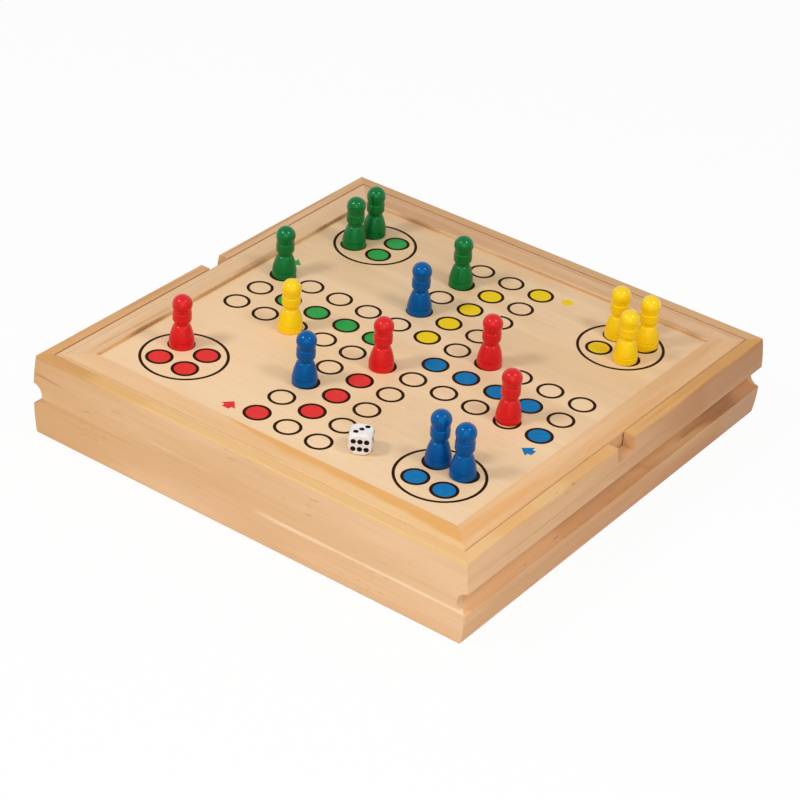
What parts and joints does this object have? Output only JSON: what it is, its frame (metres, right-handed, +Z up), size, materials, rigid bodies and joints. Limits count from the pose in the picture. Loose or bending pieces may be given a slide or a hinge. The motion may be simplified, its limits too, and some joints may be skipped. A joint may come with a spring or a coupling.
{
  "type": "wooden ludo board box",
  "caption": "Square wooden games case with coved grip sides, a lift-out framed ludo board on a ledge, turned pawns and a die.",
  "frame": {"origin": "centre of the underside of the case", "axes": "+Z up out of the board, +X towards the coved side on the right of the picture, -Y towards the flat side on its left"},
  "size_m": [0.3014, 0.3008, 0.0827],
  "materials": {
    "case_wood": "clear satin lacquer",
    "case_side_wood": "clear satin lacquer",
    "bottom_wood": "plain plywood",
    "rail_wood": "clear satin lacquer",
    "board_wood": "printed pale veneer, satin",
    "pawn_red": "gloss lacquer",
    "pawn_blue": "gloss lacquer",
    "pawn_green": "gloss lacquer",
    "pawn_yellow": "gloss lacquer",
    "die_white": "gloss"
  },
  "bodies": {
    "case": {"case_wall_front": "case_wood", "case_wall_back": "case_wood", "case_wall_left": "case_side_wood", "case_wall_right": "case_side_wood", "case_bottom": "bottom_wood"},
    "board_tray": {"tray_rail_front": "rail_wood", "tray_rail_back": "rail_wood", "tray_rail_left": "rail_wood", "tray_rail_right": "rail_wood", "board_panel": "board_wood"},
    "pawn_red_1": {"pawn_red_1": "pawn_red"},
    "pawn_red_2": {"pawn_red_2": "pawn_red"},
    "pawn_red_3": {"pawn_red_3": "pawn_red"},
    "pawn_red_4": {"pawn_red_4": "pawn_red"},
    "pawn_blue_1": {"pawn_blue_1": "pawn_blue"},
    "pawn_blue_2": {"pawn_blue_2": "pawn_blue"},
    "pawn_blue_3": {"pawn_blue_3": "pawn_blue"},
    "pawn_blue_4": {"pawn_blue_4": "pawn_blue"},
    "pawn_green_1": {"pawn_green_1": "pawn_green"},
    "pawn_green_2": {"pawn_green_2": "pawn_green"},
    "pawn_green_3": {"pawn_green_3": "pawn_green"},
    "pawn_green_4": {"pawn_green_4": "pawn_green"},
    "pawn_yellow_1": {"pawn_yellow_1": "pawn_yellow"},
    "pawn_yellow_2": {"pawn_yellow_2": "pawn_yellow"},
    "pawn_yellow_3": {"pawn_yellow_3": "pawn_yellow"},
    "pawn_yellow_4": {"pawn_yellow_4": "pawn_yellow"},
    "die": {"die": "die_white"}
  },
  "joints": [
    {"name": "board_lift", "type": "slide", "parent": "case", "child": "board_tray", "axis": [0, 0, 1], "range_m": [0, 0.06]},
    {"name": "pawn_red_1_lift", "type": "slide", "parent": "board_tray", "child": "pawn_red_1", "axis": [0, 0, 1], "range_m": [0, 0.05]},
    {"name": "pawn_red_2_lift", "type": "slide", "parent": "board_tray", "child": "pawn_red_2", "axis": [0, 0, 1], "range_m": [0, 0.05]},
    {"name": "pawn_red_3_lift", "type": "slide", "parent": "board_tray", "child": "pawn_red_3", "axis": [0, 0, 1], "range_m": [0, 0.05]},
    {"name": "pawn_red_4_lift", "type": "slide", "parent": "board_tray", "child": "pawn_red_4", "axis": [0, 0, 1], "range_m": [0, 0.05]},
    {"name": "pawn_blue_1_lift", "type": "slide", "parent": "board_tray", "child": "pawn_blue_1", "axis": [0, 0, 1], "range_m": [0, 0.05]},
    {"name": "pawn_blue_2_lift", "type": "slide", "parent": "board_tray", "child": "pawn_blue_2", "axis": [0, 0, 1], "range_m": [0, 0.05]},
    {"name": "pawn_blue_3_lift", "type": "slide", "parent": "board_tray", "child": "pawn_blue_3", "axis": [0, 0, 1], "range_m": [0, 0.05]},
    {"name": "pawn_blue_4_lift", "type": "slide", "parent": "board_tray", "child": "pawn_blue_4", "axis": [0, 0, 1], "range_m": [0, 0.05]},
    {"name": "pawn_green_1_lift", "type": "slide", "parent": "board_tray", "child": "pawn_green_1", "axis": [0, 0, 1], "range_m": [0, 0.05]},
    {"name": "pawn_green_2_lift", "type": "slide", "parent": "board_tray", "child": "pawn_green_2", "axis": [0, 0, 1], "range_m": [0, 0.05]},
    {"name": "pawn_green_3_lift", "type": "slide", "parent": "board_tray", "child": "pawn_green_3", "axis": [0, 0, 1], "range_m": [0, 0.05]},
    {"name": "pawn_green_4_lift", "type": "slide", "parent": "board_tray", "child": "pawn_green_4", "axis": [0, 0, 1], "range_m": [0, 0.05]},
    {"name": "pawn_yellow_1_lift", "type": "slide", "parent": "board_tray", "child": "pawn_yellow_1", "axis": [0, 0, 1], "range_m": [0, 0.05]},
    {"name": "pawn_yellow_2_lift", "type": "slide", "parent": "board_tray", "child": "pawn_yellow_2", "axis": [0, 0, 1], "range_m": [0, 0.05]},
    {"name": "pawn_yellow_3_lift", "type": "slide", "parent": "board_tray", "child": "pawn_yellow_3", "axis": [0, 0, 1], "range_m": [0, 0.05]},
    {"name": "pawn_yellow_4_lift", "type": "slide", "parent": "board_tray", "child": "pawn_yellow_4", "axis": [0, 0, 1], "range_m": [0, 0.05]},
    {"name": "die_lift", "type": "slide", "parent": "board_tray", "child": "die", "axis": [0, 0, 1], "range_m": [0, 0.05]}
  ]
}
